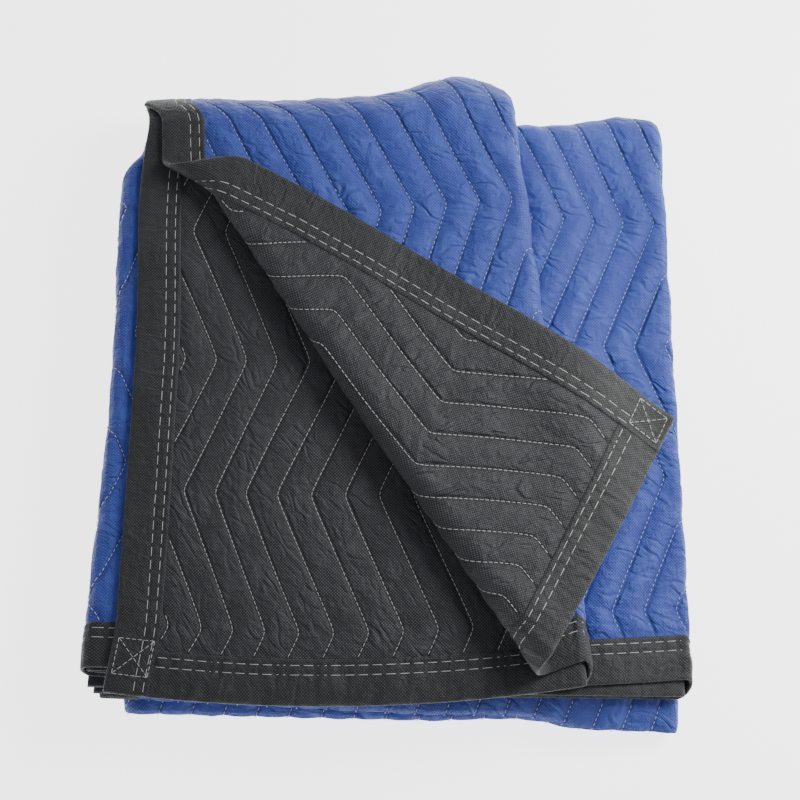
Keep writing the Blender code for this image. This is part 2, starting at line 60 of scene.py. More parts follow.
# Where the folds across u cross the blanket, at five heights
FOLD_COLUMNS = ("v", "first_right", "left", "far_right")
FOLD_TABLE = np.array([
    (0.0, 317.0, 675.0, 1180.0),
    (507.5, 300.0, 694.0, 1170.0),
    (1015.0, 345.0, 715.0, 1190.0),
    (1522.5, 322.0, 720.0, 1190.0),
    (2030.0, 389.0, 745.0, 1250.0),
])

# How far up the foot half, and down the head half, the back fold lies
BACK_COLUMNS = ("u", "foot_half", "head_half")
BACK_TABLE = np.array([
    (0.0, 536.0, 540.0),
    (300.0, 520.0, 543.0),
    (715.0, 505.0, 510.0),
    (1190.0, 498.0, 508.0),
    (1740.0, 500.0, 505.0),
])

# Outlines in plan of the two halves' layers, which lie in eight pairs, from the top pair down
OUTLINE_COLUMNS = (
    "pair", "nominal", "back_left", "back_right", "left_x", "left_y", "right_x", "right_y", "bow",
)
FOOT_OUTLINE = np.array([
    (1.5, SHORT, -211, 102, -147, -320, 157, -213, 0),
    (3.5, SHORT, -232, 102, -265, -223, 159.5, -234, 0),
    (5.5, LONG, -232, 237, -265, -223, 249, -229, -12),
    (7.5, LONG, -233, 236, -254, -241, 243, -246, 0),
    (9.5, LONG, -233, 235, -250, -243, 238, -268, 0),
    (11.5, LONG, -233, 235, -234, -256, 234, -267, 0),
    (13.5, SHORT, -232, 102, -236, -255, 153, -233, 0),
    (15.5, SHORT, -228, 102, -226, -231, 153, -232, 0),
])
HEAD_OUTLINE = np.array([
    (1.5, SHORT, -224, 102, -241, -241, 159.5, -235, -14),
    (3.5, SHORT, -230, 102, -265, -220, 159.5, -235, 0),
    (5.5, LONG, -233, 237, -264, -227, 245, -244, -4),
    (7.5, LONG, -233, 237, -258, -236, 245, -244, 0),
    (9.5, LONG, -233, 235, -250, -243, 238, -268, 0),
    (11.5, LONG, -233, 235, -234, -256, 234, -267, 0),
    (13.5, SHORT, -232, 102, -236, -255, 153, -233, 0),
    (15.5, SHORT, -228, 102, -226, -231, 153, -232, 0),
])

# Turned corner: it rolls over a line in plan and lies back on the stack
ROLL_POINT = np.array([59.7, -126.0])
ROLL_ALONG = np.array([0.5634, -0.8262])
ROLL_OVER = np.array([0.8262, 0.5634])
ROLL_COLUMNS = ("along", "radius")
ROLL_TABLE = np.array([(-480.0, 8.0), (-300.0, 10.0), (-150.0, 13.0), (0.0, 14.0), (140.0, 15.5)])
CORNER_REST = 8.4          # height of the turned corner over the layer below, middle to middle
ROLL_START = 32.0          # how far its line curves aside before the back fold
LANDING = 150.0            # radius with which it comes to rest
LANDING_TILT = 0.244       # slope in radians with which it comes down, where the roll is full
FULL_ROLL = 27.0           # height of a full roll over the corner's rest

# How far the corner is pulled aside and along the roll line, as shares of the distance past it: at the roll
# point, and more for each 200 mm along
CORNER_EASE = (-0.10, -0.01, -0.20, 0.11)

# Sag where the layers reach past the ones below
SIDE_SAG = 4 * PITCH
FRONT_SAG = 2 * PITCH
CORNER_SAG = 16.0

# Bumps of the back edge in plan where the folds bunch, on the top block and on the right-hand panel. Each is
# a bell curve: its middle, its widths to the left and to the right, and how far it stands out.
BUMP_COLUMNS = ("at", "left", "right", "out")
BLOCK_BUMPS = np.array([(54.0, 50.0, 38.0, 21.0), (-118.0, 52.0, 52.0, -3.5)])
PANEL_BUMPS = np.array([(202.0, 36.0, 36.0, 15.0), (112.0, 42.0, 42.0, -10.0)])
NOSE_BUMPS = np.array([(90.0, 42.0, 42.0, 3.0)])

# Unevenness of the whole stack, which every layer follows: height and width of its swells
SWELLS = ((1.5, 90.0), (0.8, 34.0))
SWELL_SEED = 20

RUNS = np.cumsum([0, SHORT - END, BEND, SHORT - 2 * END, BEND, LONG - 2 * END, BEND, LONG - END])
FOLD_AT = np.array([0, (RUNS[1] + RUNS[2]) / 2, (RUNS[3] + RUNS[4]) / 2, (RUNS[5] + RUNS[6]) / 2, RUNS[7]])


def column(table, names, name):
    """The column of a table that has this name."""
    return table[:, names.index(name)]


def ease(t):
    """A smooth step: 3 t squared less 2 t cubed, from 0 to 1."""
    t = np.clip(t, 0, 1)
    return t * t * (3 - 2 * t)


def bumps(x, table):
    """Sum of the table's bell curves at x, each with a width of its own to the left and to the right."""
    total = 0 * x
    for row in table:
        bump = dict(zip(BUMP_COLUMNS, row))
        wide = np.where(x < bump["at"], bump["left"], bump["right"])
        total = total + bump["out"] * np.exp(-(((x - bump["at"]) / wide) ** 2))
    return total


def lumps(seed, x, y):
    """Smooth uneven heights from -1 to 1: a seeded value at every whole x and y, eased between them."""
    size = 97
    table = np.random.default_rng(seed).uniform(-1, 1, (size, size))
    i, j = np.floor(x).astype(int), np.floor(y).astype(int)
    a, b = ease(x - i), ease(y - j)
    near = table[i % size, j % size] * (1 - a) + table[(i + 1) % size, j % size] * a
    far = table[i % size, (j + 1) % size] * (1 - a) + table[(i + 1) % size, (j + 1) % size] * a
    return near * (1 - b) + far * b


def along_section(u, v):
    """Distance along the section for a point of the flat blanket, in proportion between the fold lines."""
    at = column(FOLD_TABLE, FOLD_COLUMNS, "v")
    first, left, far = [np.interp(v, at, column(FOLD_TABLE, FOLD_COLUMNS, n)) for n in FOLD_COLUMNS[1:]]
    return np.select(
        [u < first, u < left, u < far],
        [
            FOLD_AT[1] * u / first,
            FOLD_AT[1] + (FOLD_AT[2] - FOLD_AT[1]) * (u - first) / (left - first),
            FOLD_AT[2] + (FOLD_AT[3] - FOLD_AT[2]) * (u - left) / (far - left),
        ],
        FOLD_AT[3] + (FOLD_AT[4] - FOLD_AT[3]) * (u - far) / (WIDTH - far),
    )


def section(s, w):
    """Across the stack and out from its middle plane, for the run s and the offset w: straight runs, joined
    by half circles about each fold's centre."""
    turn_1 = (s - RUNS[1]) / PITCH
    turn_2 = (s - RUNS[3]) / PITCH
    turn_3 = (s - RUNS[5]) / PITCH
    where = [s < RUNS[i] for i in range(1, 7)]
    across = [
        s,
        SHORT - END + (PITCH + w) * np.sin(turn_1),
        SHORT - END - (s - RUNS[2]),
        END - (PITCH - w) * np.sin(turn_2),
        END + (s - RUNS[4]),
        LONG - END + (PITCH + w) * np.sin(turn_3),
    ]
    out = [
        7 * PITCH + w,
        6 * PITCH + (PITCH + w) * np.cos(turn_1),
        5 * PITCH - w,
        4 * PITCH + (PITCH - w) * np.cos(turn_2),
        3 * PITCH + w,
        2 * PITCH + (PITCH + w) * np.cos(turn_3),
    ]
    return np.select(where, across, LONG - END - (s - RUNS[6])), np.select(where, out, PITCH - w)


def roll(b, radius):
    """The turned corner's profile b past the roll line, how far out and how high: an arc of a little over
    half a turn, a straight slope down and a wide arc that lands it flat."""
    tilt = LANDING_TILT * np.clip((2 * radius - CORNER_REST) / FULL_ROLL, 0.12, 1)
    arc = (np.pi + tilt) * radius
    drop = LANDING * (1 - np.cos(tilt))
    slope = np.maximum((radius * (1 + np.cos(tilt)) - drop - CORNER_REST) / np.sin(tilt), 0)
    turn = np.minimum(b, arc) / radius
    down = np.clip(b - arc, 0, slope)
    land = np.clip(b - arc - slope, 0, LANDING * tilt) / LANDING
    flat = np.maximum(b - arc - slope - LANDING * tilt, 0)
    out = radius * np.sin(turn) - down * np.cos(tilt)
    out = out - LANDING * (np.sin(tilt) - np.sin(tilt - land)) - flat
    high = radius * (1 - np.cos(turn)) - down * np.sin(tilt)
    high = high - LANDING * (np.cos(tilt - land) - np.cos(tilt))
    return out, high


def place(u, v):
    """The folded place in mm of the middle of the cloth at u, v. The section across u gives how far across
    and how deep in the stack a point lies. The back fold turns each layer round the stack's middle plane,
    the outline tables set its edges in plan, then the corner rolls over, and the overhanging layers sag."""
    u, v = np.broadcast_arrays(np.asarray(u, float), np.asarray(v, float))
    s = along_section(u, v)
    nose = np.clip((v - (LENGTH / 2 - NOSE)) / (PITCH / 2), 0, np.pi)
    across, out = section(s, PITCH / 2 * np.cos(nose))
    # Back fold
    foot = v < LENGTH / 2
    at = column(BACK_TABLE, BACK_COLUMNS, "u")
    foot_line = np.interp(u, at, column(BACK_TABLE, BACK_COLUMNS, "foot_half"))
    head_line = LENGTH - np.interp(u, at, column(BACK_TABLE, BACK_COLUMNS, "head_half"))
    line = np.where(foot, foot_line, head_line)
    past = np.where(foot, line - v, v - line)
    quarter = np.pi / 2 * out
    upper = np.where(foot, line, LENGTH - line) - quarter
    lower = np.where(foot, LENGTH / 2 - NOSE - line, line - LENGTH / 2 - NOSE) - quarter
    turn = np.clip(past / out, -np.pi / 2, np.pi / 2)
    t = np.where(past > 0, (past - quarter) / upper, np.minimum((-past - quarter) / lower, 1))
    t = np.maximum(t, 0)
    height = HALF_STACK + out * np.sin(turn)
    # Outline of the layer, from where its pair has come to in the stack
    pair = 16.5 - (HALF_STACK + section(s, 0.0)[1] * np.sin(turn)) / PITCH
    row = {}
    for n in OUTLINE_COLUMNS[1:]:
        levels = column(FOOT_OUTLINE, OUTLINE_COLUMNS, "pair")
        on_foot = np.interp(pair, levels, column(FOOT_OUTLINE, OUTLINE_COLUMNS, n))
        on_head = np.interp(pair, levels, column(HEAD_OUTLINE, OUTLINE_COLUMNS, n))
        row[n] = np.where(foot, on_foot, on_head)
    share = across / row["nominal"]
    back_x = row["back_left"] + (row["back_right"] - row["back_left"]) * share
    front_x = row["left_x"] + (row["right_x"] - row["left_x"]) * share
    front_y = row["left_y"] + (row["right_y"] - row["left_y"]) * share
    front_y = front_y + row["bow"] * 4 * share * (1 - share)
    run = np.hypot(front_x - back_x, front_y - BACK_Y)
    far = t + PITCH / 2 * np.sin(nose) / run
    x = back_x + (front_x - back_x) * far
    y = BACK_Y + (front_y - BACK_Y) * far + out * np.cos(turn)
    # Back edge: rounded at the left, more so past the first fold, and pushed out where the folds bunch
    round_off = np.clip((y - 150) / 135, 0, None) ** 2
    y = y - np.where(s < RUNS[1], 4, 17) * ease((-165 - x) / 95) * round_off
    x = x + np.where(s < RUNS[1], 8, 12) * ease((-90 - x) / 130) * round_off
    bunch = np.clip((y - 170) / 115, 0, None) ** 2
    block = bumps(x, BLOCK_BUMPS)
    panel = block * ease((75 - x) / 60) + bumps(x, PANEL_BUMPS) * ease((x - 20) / 60)
    y = y + np.where(s < RUNS[4], block, panel) * bunch
    # Side edges: the left folds bulge near the back, and the head half's free edge is drawn in
    bulge = 12.5 * ease((229 - y) / 24) * ease((y + 60) / 290) ** 1.4
    x = x - np.where(s > RUNS[1], bulge, 0) * ease((-150 - x) / 60)
    drawn = 7.5 * ease((215 - y) / 190) * ease((y + 255) / 75)
    x = x + np.where((s < RUNS[1]) & ~foot & (past > 0), drawn, 0) * ease((-90 - x) / 110)
    # Front noses: drawn in right of the middle, pushed out at the right
    wave = bumps(x, NOSE_BUMPS) - 4.5 * ease((x - 110) / 45)
    y = y + np.where(past < 0, wave, 0) * ease((-170 - y) / 70)
    # Turned corner
    a = (x - ROLL_POINT[0]) * ROLL_ALONG[0] + (y - ROLL_POINT[1]) * ROLL_ALONG[1]
    start = ROLL_START * ease((-370 - a) / 90)
    b = -(x - ROLL_POINT[0]) * ROLL_OVER[0] - (y - ROLL_POINT[1]) * ROLL_OVER[1] - start
    turned = foot & (past > 0) & (s < RUNS[1]) & (b > 0)
    stops = column(ROLL_TABLE, ROLL_COLUMNS, "along")
    radius = np.interp(a, stops, column(ROLL_TABLE, ROLL_COLUMNS, "radius"))
    aside, high = roll(np.maximum(b, 0), radius)
    back = np.maximum(-aside, 0)
    aside = start + aside - back * (CORNER_EASE[0] + CORNER_EASE[1] * a / 200)
    a = a + back * (CORNER_EASE[2] + CORNER_EASE[3] * a / 200)
    x = np.where(turned, ROLL_POINT[0] + a * ROLL_ALONG[0] - aside * ROLL_OVER[0], x)
    y = np.where(turned, ROLL_POINT[1] + a * ROLL_ALONG[1] - aside * ROLL_OVER[1], y)
    # Sag, and the stack's own swells, which fade towards the floor
    beyond = x - (102 + (247 - y) * 0.1078)
    side = SIDE_SAG * ease((beyond - 4) / 95)
    front = FRONT_SAG * ease((-241 - y) / 34)
    z = height + np.where(turned, high, 0) - side - front + side * front / SIDE_SAG
    z = z - np.where(turned, CORNER_SAG * ease((beyond - 30) / 75), 0)
    for i, (tall, wide) in enumerate(SWELLS):
        z = z + tall * lumps(SWELL_SEED + i, x / wide, y / wide) * z / (2 * HALF_STACK)
    return np.stack([x, y, z], -1)


def normal(u, v):
    """The cloth's unit normal on its blue side: the cross product of its two directions."""
    step = 0.05
    across = place(u + step, v) - place(u - step, v)
    along = place(u, v + step) - place(u, v - step)
    n = np.cross(across, along)
    return n / np.linalg.norm(n, axis=-1, keepdims=True)


# Blue face
# The outer sheet of the panel is thin blue polypropylene, spun and point-bonded. It is quilted through the
# filling to the black sheet with zigzag rows of stitches, so that it stands up in channels between them.
LINE_GAP = 28.0            # between two stitched zigzag lines
LINE_START = 12.4          # first line at a right-hand turn
ZIG_HALF = 25.0            # half of the zigzag's width
ZIG_PERIOD = 225.6
ZIG_TURN = 169.0           # v of one right-hand turn
ZIG_ROUND = 0.996          # below 1 the turns are rounded
ZIG_SLANT = 1 / np.hypot(1, 4 * ZIG_HALF / ZIG_PERIOD)
TAPE_WIDTH = 35.2

# Heights over the middle of the cloth
STITCHED = 0.70            # along a stitched line
BLUE_PUFF = 1.35           # from there to the top of a channel
BLUE_FREE = 2.0            # more where nothing lies on it
HALF_UNDER_TAPE = 0.7
LEAST = 0.5                # in the deepest crease

# How strongly the small forms stand out on a channel
PUCKER = 0.45
CREASE = 0.42
CRUMPLE = 0.4
TURN_CREASE = 0.8
BLUE_SEED = 1

# Spacing of the points on each field of the flat cloth: close where it shows, wide inside the stack
FIELDS_ACROSS = (0, 345, 405, 655, 775, 1000, 1160, 1270, 1740)
FIELDS_UP = (0, 470, 610, 985, 1045, 1430, 1570, 2030)
BLUE_SPACING = (
    (3.0, 3.0, 20, 5.0, 20, 3.0, 3.0, 20),
    (3.0, 3.0, 5.0, 5.0, 5.0, 3.0, 3.0, 6.0),
    (6.0, 6.0, 20, 6.0, 20, 8.0, 6.0, 20),
    (3.6, 3.6, 3.6, 3.6, 3.6, 3.6, 3.6, 3.6),
    (20, 6.0, 20, 4.0, 20, 20, 6.0, 20),
    (6.0, 6.0, 6.0, 4.0, 6.0, 6.0, 6.0, 6.0),
    (20, 6.0, 20, 3.6, 20, 20, 6.0, 20),
)


def zigzag(v):
    """Sideways place of the stitched lines: a zigzag from -25 to 25 mm with rounded turns."""
    wave = np.cos(2 * np.pi * (v - ZIG_TURN) / ZIG_PERIOD)
    return ZIG_HALF * np.arcsin(ZIG_ROUND * wave) / np.arcsin(ZIG_ROUND)


def quilting(u, v):
    """Distance in mm to the nearest stitched line, that line's number, and which side of it."""
    across = (u - LINE_START + ZIG_HALF - zigzag(v)) / LINE_GAP
    number = np.round(across)
    off = (across - number) * LINE_GAP * ZIG_SLANT
    return np.abs(off), number, np.sign(off)


def loft(u, v, seed, puff, free):
    """Height of a face of the panel over its middle. A channel is a quarter sine of the distance to the
    stitches, raised to a power that makes it full. Puckers run out from the stitches, creases cross the
    channels between them, and each turn of the zigzag draws in a crease. Under the tape it is pressed."""
    off, number, hand = quilting(u, v)
    half_gap = LINE_GAP * ZIG_SLANT / 2
    dome = np.sin(np.pi / 2 * np.clip(off / half_gap, 0, 1)) ** 0.9
    along = v / ZIG_SLANT
    near = np.exp(-off / 4.5) * np.sin(np.pi * np.clip(off / 5, 0, 1))
    pucker = lumps(seed, along / 5.0, number * 5.3 + hand * 0.7) * near
    crease = 1 - 2 * np.abs(lumps(seed + 1, along / 13 + hand * off / 60, number * 3.1 + hand * off / 40))
    crumple = lumps(seed + 2, u / 11, v / 11)
    turn = (v - ZIG_TURN) / (ZIG_PERIOD / 2)
    drawn = np.exp(-(((turn - np.round(turn)) * ZIG_PERIOD / 2 / 2.6) ** 2)) * dome
    drawn = drawn * (0.5 + 0.5 * lumps(seed + 3, u / 30, v / 40))
    high = STITCHED + (puff + free * free_share(u, v)) * dome + PUCKER * pucker
    high = high + (CREASE * crease - 0.15) * dome + CRUMPLE * crumple * dome - TURN_CREASE * drawn
    edge = np.minimum(np.minimum(u, WIDTH - u), np.minimum(v, LENGTH - v))
    share = ease((edge - TAPE_WIDTH + 1) / 9)
    return HALF_UNDER_TAPE * (1 - share) + np.maximum(high, LEAST) * share


def free_share(u, v):
    """1 where the foot half lies open on top, 1.35 on the right-hand panel and 0 elsewhere, eased between."""
    panel = 1.35 * ease((u - 1010) / 40) * ease((1185 - u) / 40)
    return ease((500 - v) / 60) * np.maximum(ease((330 - u) / 40), panel)


def fields(spacing):
    """Points and quads of the flat cloth, field by field, each with its own spacing. Points that two fields
    share are one point."""
    spots, quads, count = [], [], 0
    for v_from, v_to, steps in zip(FIELDS_UP, FIELDS_UP[1:], spacing):
        for u_from, u_to, step in zip(FIELDS_ACROSS, FIELDS_ACROSS[1:], steps):
            us = np.linspace(u_from, u_to, round((u_to - u_from) / step) + 1)
            vs = np.linspace(v_from, v_to, round((v_to - v_from) / step) + 1)
            u, v = np.meshgrid(us, vs, indexing="ij")
            n = np.arange(u.size).reshape(u.shape) + count
            spots.append(np.stack([u.ravel(), v.ravel()], -1))
            quads.append(np.stack([n[:-1, :-1], n[1:, :-1], n[1:, 1:], n[:-1, 1:]], -1).reshape(-1, 4))
            count += u.size
    spots, same = np.unique(np.round(np.vstack(spots), 3), axis=0, return_inverse=True)
    return spots, same.reshape(-1)[np.vstack(quads)]


def shown(name, points, quads, flat, material):
    """A smooth mesh from points in the fold's millimetres, with their places on the flat cloth, in metres,
    as its UV map. It rides on the blanket's one body."""
    mesh = bpy.data.meshes.new(name)
    mesh.vertices.add(len(points))
    mesh.vertices.foreach_set("co", ((points - FOOTPRINT_MIDDLE) / 1000).ravel())
    mesh.loops.add(quads.size)
    mesh.loops.foreach_set("vertex_index", quads.ravel().astype(np.int32))
    mesh.polygons.add(len(quads))
    mesh.polygons.foreach_set("loop_start", np.arange(0, quads.size, 4, dtype=np.int32))
    mesh.polygons.foreach_set("use_smooth", np.ones(len(quads), bool))
    mesh.uv_layers.new(name="flat_cloth").uv.foreach_set("vector", (flat[quads.ravel()] / 1000).ravel())
    mesh.update(calc_edges=True)
    mesh.materials.append(material)
    piece = bpy.data.objects.new(name, mesh)
    bpy.context.scene.collection.objects.link(piece)
    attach(piece, "root")
    return piece


def linear(colour):
    """An sRGB hex colour as the linear RGBA that a shader takes."""
    srgb = np.array([int(colour[i:i + 2], 16) for i in (1, 3, 5)]) / 255
    rgb = np.where(srgb <= 0.04045, srgb / 12.92, ((srgb + 0.055) / 1.055) ** 2.4)
    return (*rgb.tolist(), 1.0)


def node(tree, kind, inputs, **settings):
    """Adds a node: its settings, then for each input a value, or the socket that it is linked to."""
    new = tree.nodes.new(kind)
    for name, value in settings.items():
        setattr(new, name, value)
    for key, value in inputs.items():
        if isinstance(value, bpy.types.NodeSocket):
            tree.links.new(value, new.inputs[key])
        else:
            new.inputs[key].default_value = value
    return new


BOND_STEP = 1.27           # mm, half a wave of the lattice of bonding points


def point_bonded_spunbond(name, dark, light, fleck, mottled, dot_depth, creased, sheen, painted_furrow_shade):
    """Spunbond polypropylene: fine filaments laid at random and welded together at small points in a
    diagonal lattice. The points are pressed in, the filaments between them are matt and lighter, and the
    sheet is never even: it shows clouds of more and fewer filaments, and it creases sharply like paper.
    creased holds the long wrinkles' direction in radians, and their length, width and depth in mm."""
    turned, long_mm, wide_mm, deep_mm = creased
    material = bpy.data.materials.new(name)
    material.use_nodes = True
    tree = material.node_tree
    shader = tree.nodes["Principled BSDF"]
    flat = node(tree, "ShaderNodeUVMap", {}, uv_map="flat_cloth").outputs[0]
    mm = node(tree, "ShaderNodeVectorMath", {0: flat, "Scale": 1000.0}, operation="SCALE").outputs[0]
    # Bonding points, 1.8 mm apart. The real ones are 1 mm apart and would not show.
    turns = node(
        tree, "ShaderNodeVectorMath", {0: mm, "Scale": np.pi / BOND_STEP}, operation="SCALE"
    ).outputs[0]
    wave = node(tree, "ShaderNodeVectorMath", {0: turns}, operation="SINE").outputs[0]
    part = node(tree, "ShaderNodeSeparateXYZ", {0: wave})
    points = node(tree, "ShaderNodeMath", {0: part.outputs[0], 1: part.outputs[1]}, operation="MULTIPLY")
    raised = node(tree, "ShaderNodeMapRange", {0: points.outputs[0], 1: -0.2, 2: 0.8}).outputs[0]
    # Filaments and clouds
    fibres = node(tree, "ShaderNodeTexNoise", {"Vector": mm, "Scale": 0.9, "Detail": 3.0, "Roughness": 0.7})
    clouds = node(tree, "ShaderNodeTexNoise", {"Vector": mm, "Scale": 0.035, "Detail": 4.0, "Roughness": 0.6})
    speck = node(tree, "ShaderNodeMath", {0: raised, 1: fibres.outputs[0]}, operation="MULTIPLY").outputs[0]
    speck = node(tree, "ShaderNodeMapRange", {0: speck, 1: 0.12, 2: 0.62, 4: fleck}).outputs[0]
    cloud = node(tree, "ShaderNodeMapRange", {0: clouds.outputs[0], 1: 0.3, 2: 0.7, 4: mottled}).outputs[0]
    share = node(tree, "ShaderNodeMath", {0: speck, 1: cloud}, operation="ADD", use_clamp=True).outputs[0]
    colour = node(
        tree, "ShaderNodeMix", {"Factor": share, "A": linear(dark), "B": linear(light)}, data_type="RGBA"
    ).outputs["Result"]
    bump = node(
        tree, "ShaderNodeBump",
        {"Height": raised, "Strength": 1.0, "Distance": dot_depth / 1000},
    ).outputs[0]
    # Wrinkles finer than the mesh: long sharp ones in one direction, and small crinkles in all
    lengthwise = node(
        tree, "ShaderNodeMapping",
        {"Vector": mm, "Rotation": (0, 0, turned), "Scale": (long_mm, wide_mm, 1.0)},
        vector_type="TEXTURE",
    ).outputs[0]
    long = node(
        tree, "ShaderNodeTexNoise", {"Vector": lengthwise, "Scale": 1.0, "Detail": 1.0, "Distortion": 0.6}
    ).outputs[0]
    long = node(tree, "ShaderNodeMath", {0: long, 1: 0.5}, operation="SUBTRACT").outputs[0]
    long = node(tree, "ShaderNodeMath", {0: long}, operation="ABSOLUTE").outputs[0]
    long = node(tree, "ShaderNodeMapRange", {0: long, 2: 0.12}, interpolation_type="SMOOTHSTEP").outputs[0]
    some = node(tree, "ShaderNodeMapRange", {0: clouds.outputs[0], 1: 0.4, 2: 0.62}).outputs[0]
    long = node(tree, "ShaderNodeMath", {0: long, 1: some}, operation="MULTIPLY").outputs[0]
    fine = node(
        tree, "ShaderNodeTexNoise",
        {"Vector": mm, "Scale": 0.19, "Detail": 4.0, "Roughness": 0.55, "Distortion": 0.6},
    ).outputs[0]
    bump = node(
        tree, "ShaderNodeBump", {"Height": fine, "Strength": 1.0, "Distance": 0.0018, "Normal": bump}
    ).outputs[0]
    if painted_furrow_shade:
        # The stitches draw a narrow furrow along each zigzag line, and its bottom is darkened in the colour
        # as painted shade
        across = node(tree, "ShaderNodeSeparateXYZ", {0: mm})
        back = node(
            tree, "ShaderNodeMath", {0: across.outputs[1], 1: ZIG_PERIOD / 2 - ZIG_TURN}, operation="ADD"
        ).outputs[0]
        rise = node(tree, "ShaderNodeMath", {0: back, 1: ZIG_PERIOD / 2}, operation="PINGPONG").outputs[0]
        aside = node(
            tree, "ShaderNodeMath",
            {0: rise, 1: -4 * ZIG_HALF / ZIG_PERIOD, 2: 2 * ZIG_HALF - LINE_START},
            operation="MULTIPLY_ADD",
        ).outputs[0]
        aside = node(tree, "ShaderNodeMath", {0: across.outputs[0], 1: aside}, operation="ADD").outputs[0]
        off = node(tree, "ShaderNodeMath", {0: aside, 1: LINE_GAP / 2}, operation="PINGPONG").outputs[0]
        furrow = node(
            tree, "ShaderNodeMapRange", {0: off, 1: 0.0, 2: 3.2}, interpolation_type="SMOOTHSTEP"
        ).outputs[0]
        long = node(tree, "ShaderNodeMath", {0: long, 1: furrow}, operation="MULTIPLY").outputs[0]
        bump = node(
            tree, "ShaderNodeBump", {"Height": furrow, "Strength": 1.0, "Distance": 0.0007, "Normal": bump}
        ).outputs[0]
        # Painted shade: the colour is multiplied down to this share at the furrow's bottom
        shade = node(tree, "ShaderNodeMapRange", {0: furrow, 3: painted_furrow_shade, 4: 1.0}).outputs[0]
        colour = node(
            tree, "ShaderNodeMix", {"Factor": 1.0, "A": colour, "B": shade},
            data_type="RGBA", blend_type="MULTIPLY",
        ).outputs["Result"]
    bump = node(
        tree, "ShaderNodeBump", {"Height": long, "Strength": 1.0, "Distance": deep_mm / 1000, "Normal": bump}
    ).outputs[0]
    tree.links.new(colour, shader.inputs["Base Color"])
    tree.links.new(bump, shader.inputs["Normal"])
    shader.inputs["Roughness"].default_value = 0.6
    shader.inputs["Specular IOR Level"].default_value = 0.4
    shader.inputs["Sheen Weight"].default_value = sheen
    shader.inputs["Sheen Roughness"].default_value = 0.45
    return material


# The blue sheet, with painted shade at the bottom of its stitched furrows
BLUE_SHEET = point_bonded_spunbond(
    "blue_spunbond", dark="#29378a", light="#4a64bc", fleck=0.7, mottled=0.5, dot_depth=0.3,
    creased=(-0.3, 34.0, 15.0, 1.5), sheen=0.12, painted_furrow_shade=0.8,
)
spots, quads = fields(BLUE_SPACING)
height = loft(*spots.T, BLUE_SEED, BLUE_PUFF, BLUE_FREE)
points = place(*spots.T) + normal(*spots.T) * height[:, None]
blue_face = shown("blue_face", points, quads, spots, BLUE_SHEET)
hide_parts("quilted_panel")


# Black back
# The other sheet is the same polypropylene in black. It shows on the head half, which lies black side up
# beside the top layer, and on the turned corner. Its channels are flatter.
BLACK_PUFF = 1.3
BLACK_FREE = 0.3
BLACK_SEED = 7
BLACK_SPACING = (
    (3.0, 3.0, 20, 5.0, 20, 20, 5.0, 20),
    (3.0, 3.0, 6.0, 6.0, 6.0, 6.0, 6.0, 6.0),
    (20, 5.0, 20, 5.0, 20, 20, 5.0, 20),
    (5.0, 5.0, 5.0, 5.0, 5.0, 5.0, 5.0, 5.0),
    (20, 5.0, 20, 5.0, 20, 20, 5.0, 20),
    (3.0, 3.0, 6.0, 6.0, 6.0, 6.0, 6.0, 6.0),
    (3.0, 3.0, 20, 5.0, 20, 20, 5.0, 20),
)

# The black sheet, with painted shade at the bottom of its stitched furrows
BLACK_SHEET = point_bonded_spunbond(
    "black_spunbond", dark="#161618", light="#626266", fleck=0.8, mottled=0.14, dot_depth=0.2,
    creased=(0.9, 30.0, 13.0, 1.1), sheen=0.08, painted_furrow_shade=0.8,
)
spots, quads = fields(BLACK_SPACING)
height = loft(*spots.T, BLACK_SEED, BLACK_PUFF, BLACK_FREE)
points = place(*spots.T) - normal(*spots.T) * height[:, None]
black_back = shown("black_back", points, quads[:, ::-1], spots, BLACK_SHEET)
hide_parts("quilted_panel")


# Edge bindings
# A black nonwoven tape is folded over each edge and sewn down with two rows of stitches, which press it in.
# The feed of the machine gathers it into small crimps. The side tapes lie over the ends of the other two.
ROW_OUTER = 22.8           # rows of stitches, from the panel's edge
ROW_INNER = 30.4
ROW_DEEP = 0.5             # how far a row presses the tape in
TAPE_HIGH = 1.9
TAPE_TUCK = 0.5            # height of its sewn-down edge, just inside the quilted face
TAPE_EDGE = 1.8            # how far its fold stands out past the panel
CRIMP = {"foot": 1.25, "head": 1.25, "left": 0.25, "right": 0.25}
CRIMP_SEED = {"foot": 31, "head": 51, "left": 71, "right": 91}
BLACK_SIDE = 10            # added to a tape's seed for its black side
CORNER_LAP = 0.8           # height of a side tape's ends over the tape below them
SHORT_OF_SIDE = 30.0       # where the foot and head tapes end, under the side tapes
TAPE_STEP = 2.6            # between stations along it

# Across the tape from its sewn-down edge on the blue side round the fold: distance from the panel's edge
TAPE_ACROSS = np.array([
    35.5, 35.2, 34.2, 32.4, 30.4, 28.4, 26.6, 24.8, 22.8, 20.8, 18.0, 14.5, 11.0, 7.5, 4.0, 1.2,
])
TAPE_FOLD = np.radians([62, 36, 12, -12, -36, -62])
TAPE_CLOSE = np.array([2.0, 1.9, 1.4])   # stations past a side tape's end, where it closes


def tape_height(edge, r, along, lap, side):
    """Height of a tape over the panel's middle, r from the panel's edge: flat, drawn down at the two rows,
    with sharp crimps across it that die out at the sewn edge and are pressed flat by the layer above, and
    raised by lap at its ends."""
    seed = CRIMP_SEED[edge] + side
    rows = np.exp(-(((r - ROW_OUTER) / 1.9) ** 2)) + np.exp(-(((r - ROW_INNER) / 1.9) ** 2))
    crimp = 1 - 2.6 * np.abs(lumps(seed, along / 8.0, r / 30)) + 0.6 * lumps(seed + 1, along / 12.0, r / 18)
    crimp = crimp * ease((34.5 - r) / 5) * ease((r + 1) / 4)
    crimp = crimp * (0.55 + 0.45 * lumps(seed + 2, along / 60, 0 * r))
    crimp = np.clip(CRIMP[edge] * crimp, -1.0, 0.5)
    swell = 0.25 * lumps(seed + 3, along / 24, r / 30)
    down = ease((35.35 - r) / 0.5)
    return (TAPE_HIGH + lap - ROW_DEEP * rows + crimp + swell) * down + TAPE_TUCK * (1 - down)


